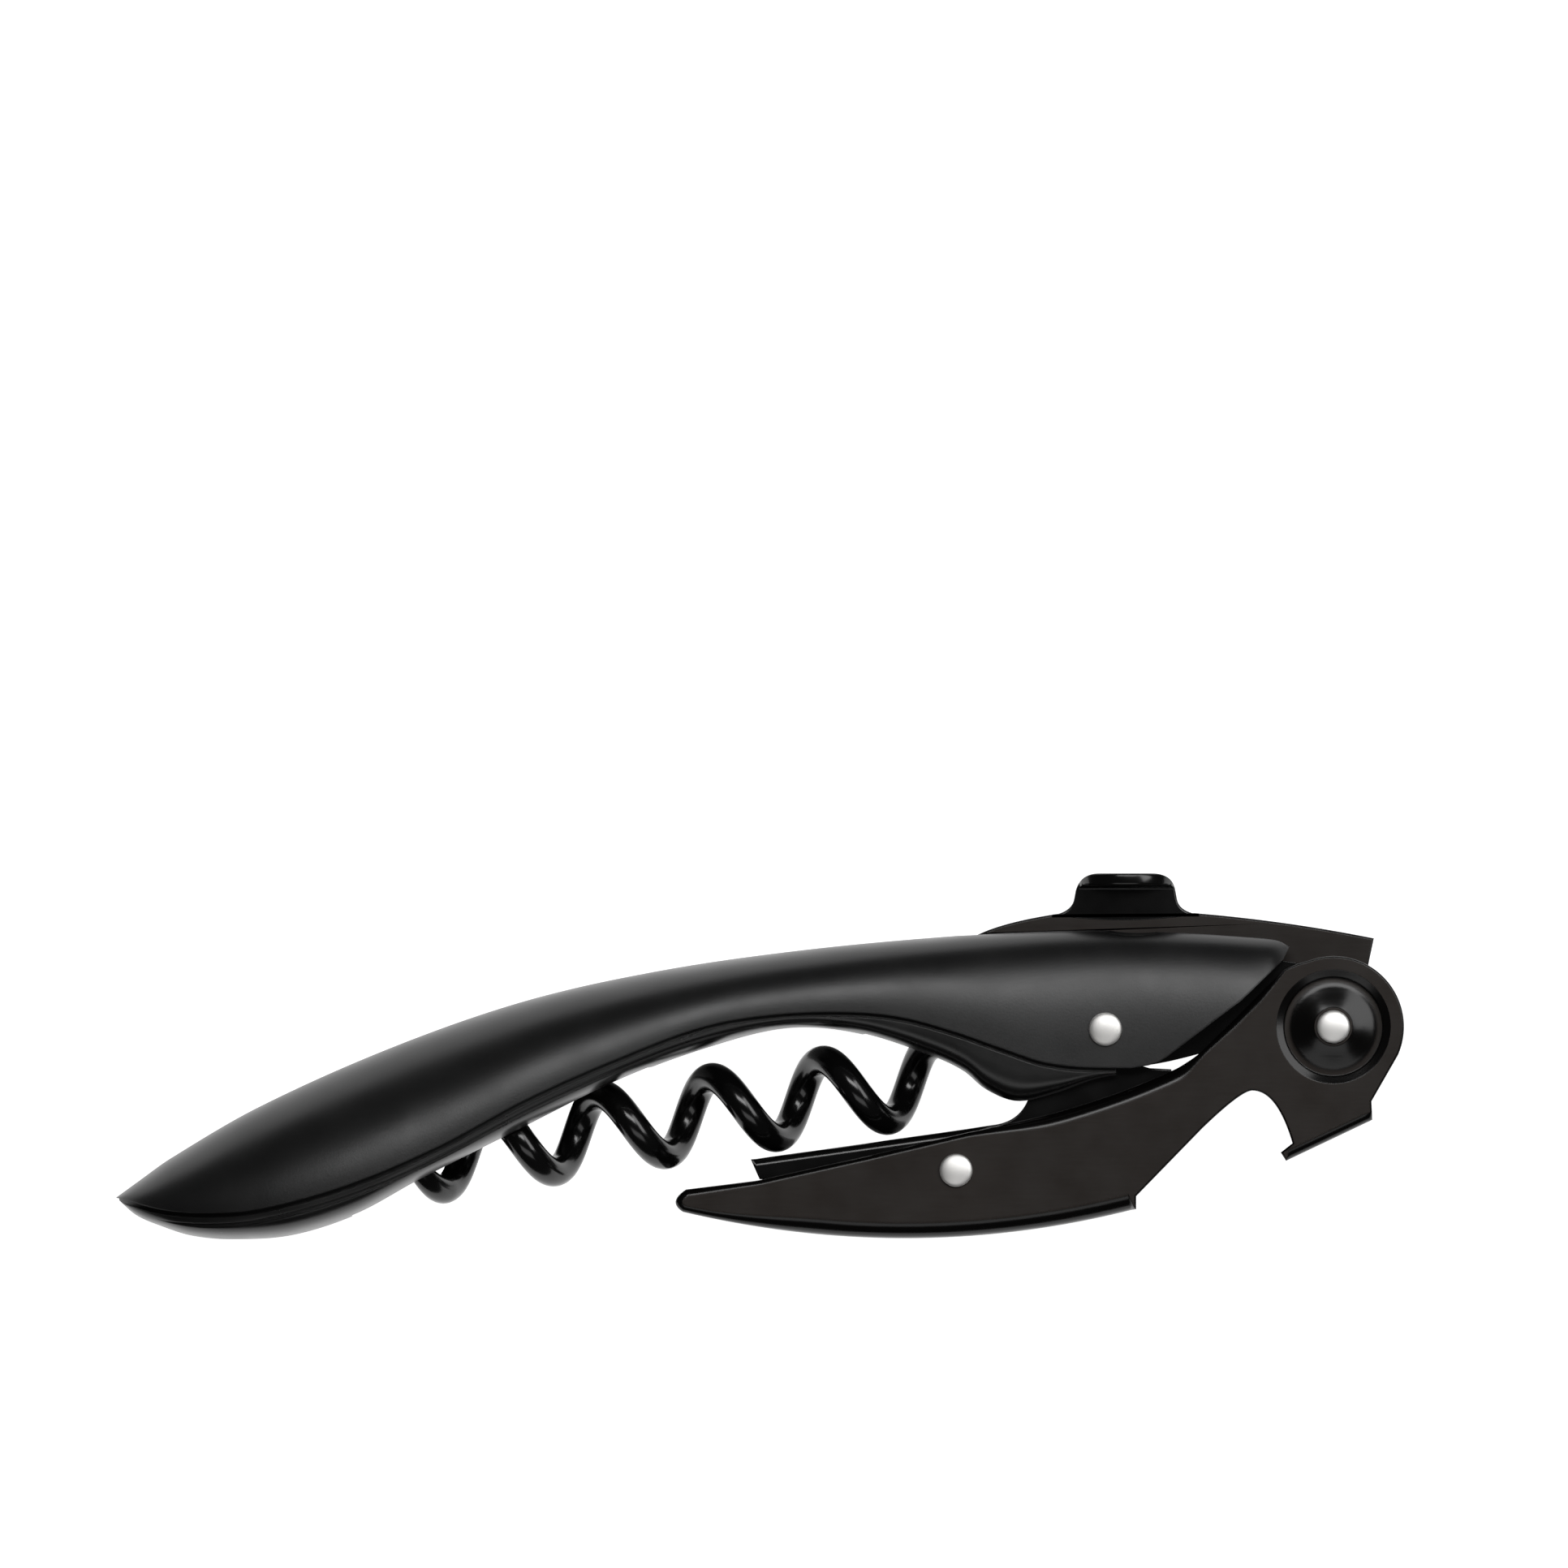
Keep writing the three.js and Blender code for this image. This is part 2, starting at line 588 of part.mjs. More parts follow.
// A rivet with a low domed head at each end.
function rivet(centre, shaftHalf, headTop) {
  const low = shaftHalf + HEAD_CLEARANCE;
  const dome = (headTop - low) * 0.55;
  const half = [
    [PIN_RADIUS, low],
    [PIN_HEAD_RADIUS, low],
    [PIN_HEAD_RADIUS, headTop - dome],
    [PIN_HEAD_RADIUS * 0.75, headTop - dome * 0.25],
    [0, headTop],
  ];
  const other = half.map(([radius, z]) => [radius, -z]).reverse();
  return turned(centre, [...other, ...half], 24);
}

function ring(centre, innerRadius, outerRadius, low, high) {
  const start = [innerRadius, low];
  return turned(centre, [start, [outerRadius, low], [outerRadius, high], [innerRadius, high], start], 24);
}

// --- Assembly -----------------------------------------------------------------------------------

function finish(color, roughness, metalness) {
  return () => new THREE.MeshStandardMaterial({ color, roughness, metalness });
}

const SOFT_TOUCH = finish(0x1f1f20, 0.5, 0);
const GLOSS_PLASTIC = finish(0x141414, 0.25, 0);
const DARK_SHEET = finish(0x2a2623, 0.4, 0.7);
const BLACK_COAT = finish(0x060606, 0.15, 0.3);
const BRIGHT_STEEL = finish(0xd8d6d0, 0.25, 1);
const SPRING_STEEL = finish(0x8d8d90, 0.35, 1);

const tool = new THREE.Group();

function place(name, solid, material) {
  const mesh = new THREE.Mesh(geometryOf(solid), material());
  mesh.name = name;
  tool.add(mesh);
}

// A spacer ring on each side of the mid-plane.
function placeSpacers(name, centre, outerRadius, low, high) {
  const spacer = ring(centre, PIN_HOLE_RADIUS, outerRadius, low, high);
  place(name + '_upper', spacer, BRIGHT_STEEL);
  place(name + '_lower', spacer.mirror([0, 0, 1]), BRIGHT_STEEL);
}

const handle = wholeHandle();
place('handle_shell', handle.intersect(overCrease(0)), SOFT_TOUCH);
place('handle_rim', rim(handle), GLOSS_PLASTIC);
place('liner_frame', liner(), BLACK_COAT);
place('liner_pin', rod(LINER_PIN, LINER_PIN_RADIUS, -LINER_PIN_HALF, LINER_PIN_HALF, 20), SPRING_STEEL);
place('lever', lever(), DARK_SHEET);
place('step_lever', stepLever(), BLACK_COAT);
place('step_spring', stepSpring(), SPRING_STEEL);
place('worm', worm(), BLACK_COAT);
place('blade', blade(), DARK_SHEET);
place('pivot_pin', rivet(PIVOT, LEVER_OUTER, LEVER_OUTER + 0.65), BRIGHT_STEEL);
place('worm_pin', rivet(WORM_PIVOT, WORM_PIN_HALF, WORM_PIN_HALF + 0.65), BRIGHT_STEEL);
place('step_pin', rivet(STEP_PIVOT, LEVER_OUTER, LEVER_OUTER + 0.65), BRIGHT_STEEL);
placeSpacers('blade_spacer', PIVOT, 1.5, BLADE_HALF_THICKNESS + 0.1, LINER_INNER - 0.1);
placeSpacers('lever_spacer', PIVOT, 1.7, LINER_OUTER + 0.1, LEVER_INNER - BULGE_DEPTH - 0.1);
placeSpacers('worm_spacer', WORM_PIVOT, 1.5, EYE_HALF_THICKNESS + 0.1, LINER_INNER - 0.1);
placeSpacers('step_spacer', STEP_PIVOT, 2, STEP_OUTER + 0.1, LEVER_INNER - 0.1);

// The tool lies on its side: the origin is under the middle of its box, and Z is up.
tool.position.set(0, -HEIGHT / 2, HANDLE_HALF_WIDTH);

export default tool;
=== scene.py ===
"""A waiter's corkscrew: fine pieces, materials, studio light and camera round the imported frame."""

import math

import bpy
import numpy as np
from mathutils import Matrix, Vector


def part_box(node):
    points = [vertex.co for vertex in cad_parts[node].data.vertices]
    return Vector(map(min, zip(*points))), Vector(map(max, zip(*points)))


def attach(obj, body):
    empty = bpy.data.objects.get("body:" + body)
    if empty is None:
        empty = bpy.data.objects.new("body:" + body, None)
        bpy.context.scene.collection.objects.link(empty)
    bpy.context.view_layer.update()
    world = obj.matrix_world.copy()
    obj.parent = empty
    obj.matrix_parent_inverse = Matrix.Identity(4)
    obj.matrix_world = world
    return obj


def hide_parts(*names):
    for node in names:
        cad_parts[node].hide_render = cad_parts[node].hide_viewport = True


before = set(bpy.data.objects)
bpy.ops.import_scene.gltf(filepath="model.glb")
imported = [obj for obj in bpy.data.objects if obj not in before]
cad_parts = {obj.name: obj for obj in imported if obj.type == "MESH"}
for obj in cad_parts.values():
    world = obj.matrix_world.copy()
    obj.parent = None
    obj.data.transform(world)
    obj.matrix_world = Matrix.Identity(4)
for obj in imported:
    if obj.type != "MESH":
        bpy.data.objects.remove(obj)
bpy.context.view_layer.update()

# Pieces are drawn in millimetres about the tool's mid-plane, then moved onto the frame.
MM = 0.001
FAR = 80.0


def centre_of(node):
    low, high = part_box(node)
    return (low + high) / 2 / MM


PIVOT = Vector((53.42, 19.81, 0))
SHIFT = centre_of("pivot_pin") - PIVOT
WORM_PIVOT = centre_of("worm_pin") - SHIFT
STEP_PIVOT = centre_of("step_pin") - SHIFT

# Driving dimensions
LENGTH = 120
TIP_X = -LENGTH / 2
TIP_Y = 3.9
HANDLE_END_X = 52.0
HANDLE_HALF_WIDTH = 9.26
WIDEST_X = -33.0
CREASE_GAP = 0.4
CREASE_DEPTH = 0.9
BEAD_TO = 0.95
BEAD_GROOVE = 0.36
BAY_HALF_WIDTH = 4.9
SLOT_HALF_WIDTH = 3.4
PIN_HOLE_RADIUS = 1.1
PIN_RADIUS = 1.0
HEAD_RADIUS = 1.55
BLADE_HALF = 1.0
LINER_INNER = 1.74
LINER_OUTER = 3.1
LEVER_OUTER = 5.75
SHEET = 0.95
LEVER_INNER = LEVER_OUTER - SHEET
BOSS_RADIUS = 6.58
STEP_OUTER = 4.3
STEP_INNER = 3.35
TOP_Y = 34.1

# --- Outlines -----------------------------------------------------------------------------------


def line_to(*points):
    return [tuple(p) for p in points]


def curve(start, handle, end, count=16):
    """Points on a curve with one handle, both ends included."""
    points = []
    for i in range(count + 1):
        t = i / count
        a, b, c = (1 - t) ** 2, 2 * t * (1 - t), t * t
        points.append((a * start[0] + b * handle[0] + c * end[0], a * start[1] + b * handle[1] + c * end[1]))
    return points


def curve_of_four(start, first, second, end, count=24):
    """Points on a curve with two handles, both ends included."""
    points = []
    for i in range(count + 1):
        t = i / count
        weights = ((1 - t) ** 3, 3 * t * (1 - t) ** 2, 3 * t * t * (1 - t), t**3)
        corners = (start, first, second, end)
        points.append(tuple(sum(w * c[k] for w, c in zip(weights, corners)) for k in (0, 1)))
    return points


def arc(centre, radius, start, end, count=32):
    angles = np.linspace(start, end, count + 1)
    return [(centre[0] + radius * math.cos(a), centre[1] + radius * math.sin(a)) for a in angles]


def height_on(points, x):
    """Height of a smooth line through points of rising x."""
    last = len(points) - 1
    i = 0
    while i < last - 1 and x > points[i + 1][0]:
        i += 1

    def at(k):
        return points[min(max(k, 0), last)]

    def slope(k):
        return (at(k + 1)[1] - at(k - 1)[1]) / (at(k + 1)[0] - at(k - 1)[0])

    span = at(i + 1)[0] - at(i)[0]
    t = min(max((x - at(i)[0]) / span, 0), 1)
    return (
        (2 * t**3 - 3 * t**2 + 1) * at(i)[1]
        + (t**3 - 2 * t**2 + t) * span * slope(i)
        + (3 * t**2 - 2 * t**3) * at(i + 1)[1]
        + (t**3 - t**2) * span * slope(i + 1)
    )


def smooth(value, low, high):
    """Rises softly from 0 at low to 1 at high."""
    t = min(max((value - low) / (high - low), 0), 1)
    return t * t * (3 - 2 * t)


# --- Solids -------------------------------------------------------------------------------------


def make_object(name, points, faces):
    mesh = bpy.data.meshes.new(name)
    mesh.from_pydata([tuple(p) for p in points], [], faces)
    mesh.validate()
    mesh.update()
    obj = bpy.data.objects.new(name, mesh)
    bpy.context.scene.collection.objects.link(obj)
    return obj


def counter_clockwise(points):
    area = sum(a[0] * b[1] - b[0] * a[1] for a, b in zip(points, points[1:] + points[:1]))
    return area > 0


def outward_directions(points):
    """At each corner, the direction that moves both of its edges out by one."""
    here = np.array(points)[:, :2]
    before = here - np.roll(here, 1, 0)
    after = np.roll(here, -1, 0) - here
    before /= np.linalg.norm(before, axis=1)[:, None]
    after /= np.linalg.norm(after, axis=1)[:, None]
    normal_before = np.stack([before[:, 1], -before[:, 0]], 1)
    normal_after = np.stack([after[:, 1], -after[:, 0]], 1)
    middle = normal_before + normal_after
    middle /= np.maximum(np.linalg.norm(middle, axis=1), 0.2)[:, None]
    stretch = 1 / np.maximum((middle * normal_before).sum(1), 0.6)
    return middle * stretch[:, None]


def clean_outline(points):
    """The outline without repeated points, counter-clockwise."""
    kept = []
    for p in points:
        if not kept or math.hypot(p[0] - kept[-1][0], p[1] - kept[-1][1]) > 1e-4:
            kept.append(tuple(p))
    if math.hypot(kept[0][0] - kept[-1][0], kept[0][1] - kept[-1][1]) < 1e-4:
        kept.pop()
    return kept if counter_clockwise(kept) else kept[::-1]


def slab(points, low, high, edge=0.0, steps=5, plan=False):
    """A side outline with a thickness and rounded rims. edge is the rim's width, unless the outline's points
    hold their own as a third value. plan turns the outline to (x, z)."""
    outline = clean_outline(points)
    width = np.array([p[2] if len(p) > 2 else edge for p in outline])
    inward = -outward_directions(outline)
    flat = np.array([p[:2] for p in outline])
    rounded = width.max() > 0
    angles = np.linspace(math.pi / 2, 0, steps + 1) if rounded else np.array([0.0])
    rings = []
    for side, level in ((1, low), (-1, high)):
        for angle in angles if side == 1 else angles[::-1]:
            ring = flat + inward * (width * (1 - math.cos(angle)))[:, None]
            z = level + side * width * (1 - math.sin(angle))
            rings.append(np.column_stack([ring, z]))
    count = len(outline)
    vertices = np.vstack(rings)
    faces = [list(range(count))[::-1], [(len(rings) - 1) * count + i for i in range(count)]]
    for r in range(len(rings) - 1):
        for i in range(count):
            j = (i + 1) % count
            faces.append([r * count + i, r * count + j, (r + 1) * count + j, (r + 1) * count + i])
    if plan:
        vertices = vertices[:, [0, 2, 1]]
        faces = [face[::-1] for face in faces]
    return make_object("slab", vertices, faces)


def turned(centre, profile, segments=96):
    """A turned piece. Its profile of (radius, z) has both ends on the axis, or closes on itself."""
    closed = profile[0] == profile[-1]
    stations = profile[:-1] if closed else profile
    vertices, rows = [], []
    for radius, z in stations:
        if radius < 1e-6:
            rows.append([len(vertices)] * segments)
            vertices.append((centre[0], centre[1], z))
            continue
        rows.append(list(range(len(vertices), len(vertices) + segments)))
        for i in range(segments):
            a = 2 * math.pi * i / segments
            vertices.append((centre[0] + radius * math.cos(a), centre[1] + radius * math.sin(a), z))
    faces = []
    pairs = list(zip(rows, rows[1:])) + ([(rows[-1], rows[0])] if closed else [])
    for lower, upper in pairs:
        for i in range(segments):
            j = (i + 1) % segments
            face = [lower[i], lower[j], upper[j], upper[i]]
            faces.append([v for k, v in enumerate(face) if v != face[k - 1]])
    obj = make_object("turned", vertices, faces)
    return face_out(obj)


def tube(points, radii, sides=20):
    """A round wire along points; radii holds one radius for each point. Both ends are closed."""
    path = np.array(points, float)
    tangents = np.gradient(path, axis=0)
    tangents /= np.linalg.norm(tangents, axis=1)[:, None]
    normal = np.cross(tangents[0], (0.3, 0.2, 1.0))
    vertices = []
    for point, tangent, radius in zip(path, tangents, radii):
        normal = normal - tangent * np.dot(normal, tangent)
        normal /= np.linalg.norm(normal)
        other = np.cross(tangent, normal)
        for i in range(sides):
            a = 2 * math.pi * i / sides
            vertices.append(point + radius * (math.cos(a) * normal + math.sin(a) * other))
    count = len(path)
    faces = [list(range(sides))[::-1], [(count - 1) * sides + i for i in range(sides)]]
    for r in range(count - 1):
        for i in range(sides):
            j = (i + 1) % sides
            faces.append([r * sides + i, r * sides + j, (r + 1) * sides + j, (r + 1) * sides + i])
    return face_out(make_object("tube", vertices, faces))


def rod(centre, radius, low=-FAR, high=FAR, segments=64):
    return turned(centre, [(0, low), (radius, low), (radius, high), (0, high)], segments)


def face_out(obj):
    """Turns every face the other way if the closed mesh is inside out."""
    mesh = obj.data
    mesh.calc_loop_triangles()
    co = np.array([v.co for v in mesh.vertices])
    tri = np.array([t.vertices for t in mesh.loop_triangles])
    a, b, c = co[tri[:, 0]], co[tri[:, 1]], co[tri[:, 2]]
    if np.einsum("ij,ij->i", a, np.cross(b, c)).sum() < 0:
        mesh.flip_normals()
    return obj


def combine(target, tool, operation):
    modifier = target.modifiers.new("combine", "BOOLEAN")
    modifier.operation = operation
    modifier.object = tool
    modifier.solver = "MANIFOLD"
    graph = bpy.context.evaluated_depsgraph_get()
    made = bpy.data.meshes.new_from_object(target.evaluated_get(graph))
    target.modifiers.clear()
    target.data = made
    bpy.data.objects.remove(tool)
    return target


def cut(target, *tools):
    for tool in tools:
        combine(target, tool, "DIFFERENCE")
    return target


def join(target, *tools):
    for tool in tools:
        combine(target, tool, "UNION")
    return target


def common(target, tool):
    return combine(target, tool, "INTERSECT")


def place(obj, name, body, nodes, slot, sharp_degrees=32):
    """Moves a drawn piece onto the frame, smooths it, and lets it ride and stand for its CAD nodes."""
    obj.name = name
    obj.data.name = name
    mesh = obj.data
    co = np.empty(len(mesh.vertices) * 3)
    mesh.vertices.foreach_get("co", co)
    co = (co.reshape(-1, 3) + np.array(SHIFT)) * MM
    mesh.vertices.foreach_set("co", co.ravel())
    mesh.update()
    mesh.polygons.foreach_set("use_smooth", [True] * len(mesh.polygons))
    mesh.set_sharp_from_angle(angle=math.radians(sharp_degrees))
    weighted = obj.modifiers.new("even_normals", "WEIGHTED_NORMAL")
    weighted.keep_sharp = True
    obj.data.materials.clear()
    obj.data.materials.append(MATERIALS[slot])
    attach(obj, body)
    if nodes:
        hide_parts(*nodes)
    return obj


# --- Materials ----------------------------------------------------------------------------------


def add_node(tree, kind, **inputs):
    node = tree.nodes.new(kind)
    for key, value in inputs.items():
        node.inputs[key.replace("_", " ")].default_value = value
    return node


def noise(tree, place_from, scale, detail=4.0, stretch=(1, 1, 1)):
    mapping = add_node(tree, "ShaderNodeMapping", Scale=stretch)
    tree.links.new(place_from, mapping.inputs["Vector"])
    texture = add_node(tree, "ShaderNodeTexNoise", Scale=scale, Detail=detail)
    tree.links.new(mapping.outputs["Vector"], texture.inputs["Vector"])
    return texture.outputs["Fac"]


def span(tree, value, low, high, from_low=0.3, from_high=0.7):
    node = add_node(tree, "ShaderNodeMapRange")
    node.inputs["From Min"].default_value = from_low
    node.inputs["From Max"].default_value = from_high
    node.inputs["To Min"].default_value = low
    node.inputs["To Max"].default_value = high
    tree.links.new(value, node.inputs["Value"])
    return node.outputs["Result"]


def mix_colours(tree, share, first, second):
    node = tree.nodes.new("ShaderNodeMix")
    node.data_type = "RGBA"
    node.inputs["A"].default_value = (*first, 1)
    node.inputs["B"].default_value = (*second, 1)
    tree.links.new(share, node.inputs["Factor"])
    return node.outputs["Result"]


def finish_material(name, dark, light, rough, metallic=0.0, grain=1800.0, grain_depth=0.00001,
                    stretch=(1, 1, 1), edge=0.00012, specular=0.5):
    """A surface whose colour, roughness and fine relief all vary, with softly worn edges."""
    material = bpy.data.materials.new(name)
    material.use_nodes = True
    tree = material.node_tree
    shader = tree.nodes["Principled BSDF"]
    shader.inputs["Metallic"].default_value = metallic
    shader.inputs["Specular IOR Level"].default_value = specular
    where = tree.nodes.new("ShaderNodeTexCoord").outputs["Object"]
    broad = noise(tree, where, 90.0, 5.0)
    fine = noise(tree, where, grain, 3.0, stretch)
    tree.links.new(mix_colours(tree, span(tree, broad, 0, 1), dark, light), shader.inputs["Base Color"])
    smudges = noise(tree, where, 260.0, 6.0)
    tree.links.new(span(tree, smudges, *rough), shader.inputs["Roughness"])
    soft_edge = add_node(tree, "ShaderNodeBevel", Radius=edge)
    soft_edge.samples = 4
    bump = add_node(tree, "ShaderNodeBump", Strength=0.5, Distance=grain_depth)
    tree.links.new(fine, bump.inputs["Height"])
    tree.links.new(soft_edge.outputs["Normal"], bump.inputs["Normal"])
    tree.links.new(bump.outputs["Normal"], shader.inputs["Normal"])
    return material


def paint_shade_on_bends(material):
    """Paints shade on the sheet: all but its flat sides get a near-black colour, painted shade for the dark
    that bends and slopes show, and a glossier roughness.
    """
    tree = material.node_tree
    shader = tree.nodes["Principled BSDF"]
    split = tree.nodes.new("ShaderNodeSeparateXYZ")
    tree.links.new(tree.nodes.new("ShaderNodeTexCoord").outputs["Normal"], split.inputs["Vector"])
    size = tree.nodes.new("ShaderNodeMath")
    size.operation = "ABSOLUTE"
    tree.links.new(split.outputs["Z"], size.inputs[0])
    # Near 1 on the sheet's flat sides, 0 on bends and slopes, where the near-black painted shade goes.
    flat = span(tree, size.outputs["Value"], 0, 1, 0.985, 0.998)
    # The near-black base colour is painted shade; the roughness only makes the bends glossier.
    for name, bend_shade_and_gloss in (("Base Color", (0.0022, 0.0020, 0.0019, 1)), ("Roughness", 0.18)):
        socket = shader.inputs[name]
        mix = tree.nodes.new("ShaderNodeMix")
        mix.data_type = "RGBA" if socket.type == "RGBA" else "FLOAT"
        mix.inputs["A"].default_value = bend_shade_and_gloss
        tree.links.new(socket.links[0].from_socket, mix.inputs["B"])
        tree.links.new(flat, mix.inputs["Factor"])
        tree.links.new(mix.outputs["Result"], socket)


MATERIALS = {
    "soft_touch_black": finish_material(
        "soft_touch_black", (0.0040, 0.0040, 0.0042), (0.0055, 0.0055, 0.0058), (0.33, 0.38),
        grain=5200.0, grain_depth=0.000012, edge=0.00025),
    "gloss_black_plastic": finish_material(
        "gloss_black_plastic", (0.003, 0.003, 0.003), (0.0045, 0.0045, 0.0045), (0.26, 0.34),
        edge=0.0002),
    "dark_coated_sheet": finish_material(
        "dark_coated_sheet", (0.0165, 0.0122, 0.0098), (0.0205, 0.0155, 0.0125), (0.30, 0.38),
        grain=2600.0, grain_depth=0.000008, stretch=(0.15, 1, 1), specular=0.3),
    "gloss_black_coat": finish_material(
        "gloss_black_coat", (0.0022, 0.0022, 0.0022), (0.0035, 0.0035, 0.0035), (0.13, 0.19), grain=900.0,
        grain_depth=0.000004),
    "bright_steel": finish_material(
        "bright_steel", (0.74, 0.73, 0.71), (0.86, 0.85, 0.83), (0.40, 0.48), metallic=0.92, grain=3500.0,
        grain_depth=0.000004, edge=0.00006),
    "spring_steel": finish_material(
        "spring_steel", (0.26, 0.26, 0.27), (0.36, 0.36, 0.37), (0.22, 0.34), metallic=1.0, grain=2400.0,
        stretch=(1, 1, 0.1), edge=0.00004),
}

# Painted shade: near-black colour on the sheet's bends and slopes.
paint_shade_on_bends(MATERIALS["dark_coated_sheet"])

# --- Handle -------------------------------------------------------------------------------------

SPINE_LINE = [
    (TIP_X, TIP_Y), (-58, 5.35), (-54.9, 7.56), (-46.7, 12.33), (-34.2, 17.92), (-21.8, 22.23),
    (-9.3, 25.03), (4, 26.95), (18, 28.25), (29.8, 28.9), (40, 28.75), (49.1, 28.2), (52, 28),
]
LOWER_LINE = [
    (TIP_X, TIP_Y), (-58.2, 2.3), (-55.8, 1.24), (-52.9, 0.33), (-49.1, 0), (-43.5, 0.4), (-37.5, 2.34),
    (-31.7, 5.52), (-23.4, 9.68), (-13.5, 14.62), (-5.2, 17.76), (2.5, 19.66), (9, 19.2), (16.1, 16.9),
    (19, 15.5), (21, 13.8), (23.9, 12.7), (27.5, 13.5), (31.3, 14.9), (34, 15.3), (52, 15.3),
]
CREASE_LINE = [
    (TIP_X, TIP_Y), (-55.8, 2.75), (-51.6, 2.42), (-46.7, 2.8), (-38.4, 5.07), (-30, 8.62), (-21.8, 13),
    (-13.5, 16.7), (-5.2, 19.8), (1.8, 20.95), (8.6, 21.13), (13.3, 20.64), (18, 19.36), (22.8, 17.69),
    (26.5, 16.48), (31, 15.99), (52, 15.99),
]
WIDTH_LINE = [
    (WIDEST_X, HANDLE_HALF_WIDTH), (-24.2, 9.05), (-15.5, 8.5), (-6.8, 7.9), (2, 7.4), (12.4, 7.1),
    (22.2, 6.95), (30.7, 6.5), (41.9, 6.4), (46.5, 6.35), (48.2, 5.9), (49.2, 4.9), (52, 4),
]


def half_width(x):
    if x >= WIDEST_X:
        return height_on(WIDTH_LINE, x)
    share = (WIDEST_X - x) / (WIDEST_X - TIP_X)
    return HANDLE_HALF_WIDTH * max(0, 1 - share**2.3) ** 0.46


def signed_power(value, power):
    return math.copysign(abs(value) ** power, value)


def section(x, angle):
    """A point of the handle's section at x."""
    square = smooth(x, -10, 40)
    rounder = 1 - smooth(x, -42, 2)  # towards the tip the upper half turns into an ellipse
    upper = math.sin(angle) >= 0
    side = signed_power(math.cos(angle), (0.74 + 0.24 * rounder if upper else 0.6) - 0.22 * square)
    rise = signed_power(math.sin(angle), (0.86 + 0.12 * rounder if upper else 0.55) - 0.26 * square)
    middle = height_on(CREASE_LINE, x)
    reach = height_on(SPINE_LINE, x) - middle if upper else middle - height_on(LOWER_LINE, x)
    return middle + rise * reach, side * half_width(x)


def skin(along=300, around=144):
    """The handle's whole closed skin, from the tip to the open end."""
    vertices = [(TIP_X, TIP_Y, 0)]
    for i in range(1, along + 1):
        x = TIP_X + (HANDLE_END_X - TIP_X) * (i / along) ** 1.5
        for k in range(around):
            y, z = section(x, -2 * math.pi * k / around)
            vertices.append((x, y, z))
    end = len(vertices)
    vertices.append((HANDLE_END_X, height_on(CREASE_LINE, HANDLE_END_X), 0))
    faces = []
    for k in range(around):
        j = (k + 1) % around
        faces.append([0, 1 + j, 1 + k])
        last = 1 + (along - 1) * around
        faces.append([end, last + k, last + j])
        for i in range(along - 1):
            row = 1 + i * around
            faces.append([row + k, row + j, row + around + j, row + around + k])
    return face_out(make_object("skin", vertices, faces))


def beside_crease(offset, upward, count=160):
    """A cutter for all that lies over a line beside the crease, or under it."""
    xs = np.linspace(TIP_X - 1, HANDLE_END_X + 1, count)
    points = [(x, height_on(CREASE_LINE, max(x, TIP_X)) + offset) for x in xs]
    far = FAR if upward else -FAR
    return slab(points + [(HANDLE_END_X + 1, far), (TIP_X - 1, far)], -FAR, FAR)


def open_end():
    """The slanted open end, where the lever's boss turns."""
    edge = line_to((49.8, 30), (49.3, 27.2), (48.75, 26.1), (48.3, 25.6), (44.85, 22.25), (41, 19.35))
    edge += line_to((37.85, 16.95), (37.1, 16.5), (36.2, 16.2), (34.6, 15.95), (33.2, 15.9))
    return slab(edge + line_to((33.2, 10), (60, 10), (60, 30)), -FAR, FAR)


def worm_axis_y(x):
    return WORM_AXIS[1] + (x - WORM_AXIS[0]) * math.tan(WORM_TILT)


def worm_bay():
    def ceiling(x):
        return worm_axis_y(x) + 5.1

    points = [(-38, -5), (-38, ceiling(-38) - 2), (-36.5, ceiling(-36.5)), (21.5, ceiling(21.5))]
    points += [(23, 20.8), (45, 20.8), (45, -5)]
    return slab(points, -BAY_HALF_WIDTH, BAY_HALF_WIDTH)


def slot_pocket():
    points = [(18.4, 20.6), (18.4, 27.1), (30, 27.6), (44, 27.3), (60, 27), (60, 10), (24, 10), (23, 20.6)]
    return slab(points, -SLOT_HALF_WIDTH, SLOT_HALF_WIDTH)


def slot_mouth():
    points = [(60, -3.35)] + curve((45, -3.3), (30, -2.75), (20.5, -1.95), 30)
    points += arc((20.3, 0), 1.95, -math.pi / 2, -3 * math.pi / 2, 32)
    points += curve((20.5, 1.95), (30, 2.75), (45, 3.3), 30) + [(60, 3.35)]
    return slab(points, 22, FAR, plan=True)


def hollow_handle(handle):
    liner_pin = centre_of("liner_pin") - SHIFT
    cut(handle, open_end(), worm_bay(), slot_pocket(), slot_mouth())
    return cut(handle, rod(WORM_PIVOT, PIN_HOLE_RADIUS), rod(liner_pin, 0.9, -4.9, 4.9, 32))


def nail_scoop():
    """The shallow hollow in the shell under the nail tab."""
    centre, radii = Vector((34.9, 29.6, 5.2)), Vector((5.8, 1.45, 3.4))
    steps = 24
    profile = [(math.sin(math.pi * i / steps), -math.cos(math.pi * i / steps)) for i in range(steps + 1)]
    profile[0], profile[-1] = (0, -1), (0, 1)
    ball = turned((0, 0), profile, 64)
    for vertex in ball.data.vertices:
        vertex.co = centre + Vector(a * b for a, b in zip(vertex.co, radii))
    return ball


def grip_shell():
    shell = cut(skin(), beside_crease(0, False), nail_scoop())
    place(hollow_handle(shell), "grip_shell", "handle", ["handle_shell"], "soft_touch_black")


def plan_inside(inset):
    """A column inside the handle's plan, inset from its sides."""
    xs = [x for x in np.linspace(TIP_X, HANDLE_END_X + 1, 400) if half_width(x) > inset + 0.02]
    edge = [(x, half_width(x) - inset) for x in xs]
    return slab(edge + [(x, -z) for x, z in reversed(edge)], -FAR, FAR, plan=True)


